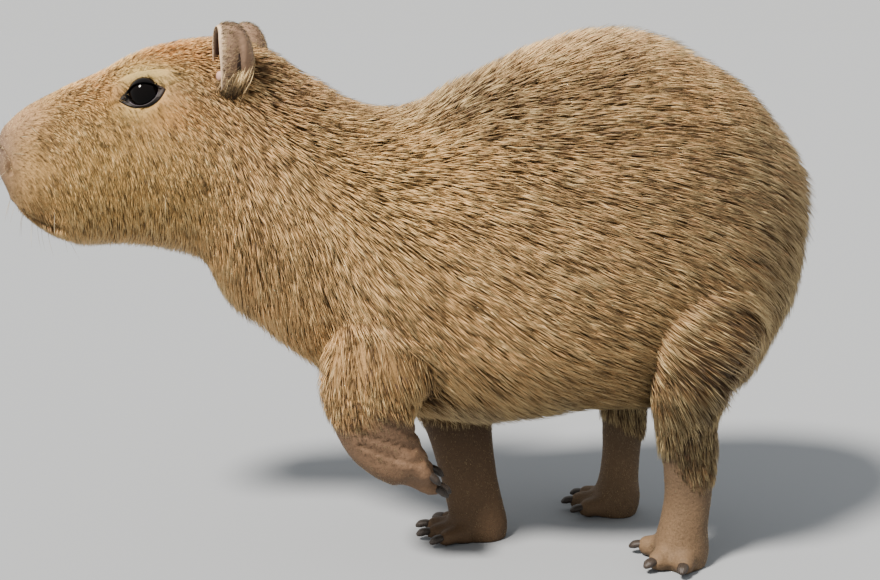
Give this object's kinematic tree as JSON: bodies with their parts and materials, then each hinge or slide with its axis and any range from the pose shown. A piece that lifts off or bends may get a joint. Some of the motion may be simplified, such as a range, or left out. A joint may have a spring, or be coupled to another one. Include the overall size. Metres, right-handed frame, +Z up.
{
  "type": "capybara",
  "caption": "Life-size still model of a young capybara in mid-step, one fore paw lifted and folded back, with a long bristly coat.",
  "frame": {"origin": "on the ground under the middle of the whole body", "axes": "+X towards the rump, so the animal faces -X; +Y towards its right side; +Z up"},
  "size_m": [0.6546, 0.2368, 0.4349],
  "materials": {
    "coat": "long coarse hair, straw tips over dark brown roots, matt with a dry sheen",
    "rump_coat": "long coarse hair, greyer and darker than the flank",
    "face_coat": "short dense hair, golden on the cheek and reddish brown on the brow",
    "ear": "thin bare skin with a short nap",
    "leg_coat": "short hair lying flat",
    "paw_skin": "wrinkled grey skin with sparse short hair",
    "claw": "blunt horn",
    "eye": "wet and glossy, almost black"
  },
  "bodies": {
    "root": {"claw_forepaw_left_1": "claw", "claw_forepaw_left_2": "claw", "claw_forepaw_left_3": "claw", "claw_forepaw_left_4": "claw", "claw_forepaw_right_1": "claw", "claw_forepaw_right_2": "claw", "claw_forepaw_right_3": "claw", "claw_forepaw_right_4": "claw", "claw_hindfoot_left_1": "claw", "claw_hindfoot_left_2": "claw", "claw_hindfoot_left_3": "claw", "claw_hindfoot_right_1": "claw", "claw_hindfoot_right_2": "claw", "claw_hindfoot_right_3": "claw", "ear_left": "ear", "ear_right": "ear", "eye_left": "eye", "eye_right": "eye", "foreleg_left": "leg_coat", "foreleg_right": "leg_coat", "forepaw_left": "paw_skin", "forepaw_right": "paw_skin", "head": "face_coat", "hindfoot_left": "paw_skin", "hindfoot_right": "paw_skin", "hindleg_left": "leg_coat", "hindleg_right": "leg_coat", "neck": "coat", "rump": "rump_coat", "torso": "coat"}
  },
  "joints": []
}
